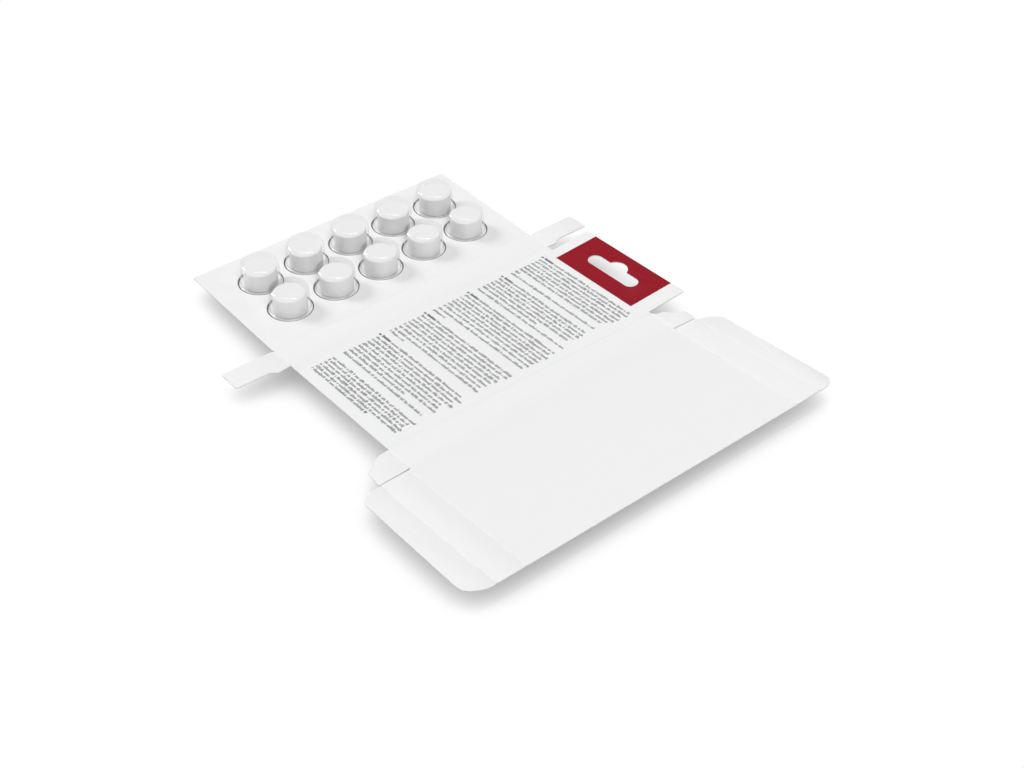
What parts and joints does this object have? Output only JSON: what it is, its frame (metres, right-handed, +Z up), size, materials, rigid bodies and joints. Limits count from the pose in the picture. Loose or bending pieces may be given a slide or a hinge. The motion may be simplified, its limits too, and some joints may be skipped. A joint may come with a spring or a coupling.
{
  "type": "opened-out cleaning tablet carton with blister tray",
  "caption": "Folding carton opened out flat, inside face up, with hang tab and fold-up end flaps, and round tablets in a clear foil-sealed blister tray.",
  "frame": {"origin": "centre of the footprint, on the surface the foil lies on", "axes": "+X towards the hang tab end, +Y towards the panel with the tray, +Z up, out of the inside face"},
  "size_m": [0.2022, 0.2502, 0.0123],
  "materials": {
    "card": "clay-coated white board, satin, printed inside with a red field and lines of grey print",
    "film": "clear thermoformed film",
    "foil": "satin lidding foil",
    "tablet": "matt pressed powder"
  },
  "bodies": {
    "sheet": {"carton": "card", "blister_tray": "film", "lidding_foil": "foil", "tablet_01": "tablet", "tablet_02": "tablet", "tablet_03": "tablet", "tablet_04": "tablet", "tablet_05": "tablet", "tablet_06": "tablet", "tablet_07": "tablet", "tablet_08": "tablet", "tablet_09": "tablet", "tablet_10": "tablet"},
    "dust_flap_b_left": {"dust_flap_b_left": "card"},
    "dust_flap_b_right": {"dust_flap_b_right": "card"},
    "dust_flap_d_left": {"dust_flap_d_left": "card"},
    "dust_flap_d_right": {"dust_flap_d_right": "card"},
    "closure_left": {"closure_left": "card"},
    "closure_right": {"closure_right": "card"},
    "tuck_tongue_left": {"tuck_tongue_left": "card"},
    "tuck_tongue_right": {"tuck_tongue_right": "card"}
  },
  "joints": [
    {"name": "dust_flap_b_left_fold", "type": "hinge", "parent": "sheet", "child": "dust_flap_b_left", "pos_m": [-0.07345, 0.04743, 0.00124], "axis": [0, 0.999, -0.0454], "range_deg": [0, 90]},
    {"name": "dust_flap_b_right_fold", "type": "hinge", "parent": "sheet", "child": "dust_flap_b_right", "pos_m": [0.07475, 0.04603, 0.00131], "axis": [0, -0.999, 0.0454], "range_deg": [0, 90]},
    {"name": "dust_flap_d_left_fold", "type": "hinge", "parent": "sheet", "child": "dust_flap_d_left", "pos_m": [-0.07345, -0.04188, 0.0053], "axis": [0, 0.999, -0.0454], "range_deg": [0, 90]},
    {"name": "dust_flap_d_right_fold", "type": "hinge", "parent": "sheet", "child": "dust_flap_d_right", "pos_m": [0.07475, -0.04188, 0.0053], "axis": [0, -0.999, 0.0454], "range_deg": [0, 90]},
    {"name": "closure_left_fold", "type": "hinge", "parent": "sheet", "child": "closure_left", "pos_m": [-0.07425, -0.08753, 0.0087], "axis": [0, 0.9968, -0.0802], "range_deg": [0, 90]},
    {"name": "closure_right_fold", "type": "hinge", "parent": "sheet", "child": "closure_right", "pos_m": [0.07445, -0.08753, 0.0087], "axis": [0, -0.9968, 0.0802], "range_deg": [0, 90]},
    {"name": "tuck_tongue_left_fold", "type": "hinge", "parent": "closure_left", "child": "tuck_tongue_left", "pos_m": [-0.08875, -0.08773, 0.00871], "axis": [0, 0.9968, -0.0802], "range_deg": [0, 90]},
    {"name": "tuck_tongue_right_fold", "type": "hinge", "parent": "closure_right", "child": "tuck_tongue_right", "pos_m": [0.08795, -0.08773, 0.00871], "axis": [0, -0.9968, 0.0802], "range_deg": [0, 90]}
  ]
}
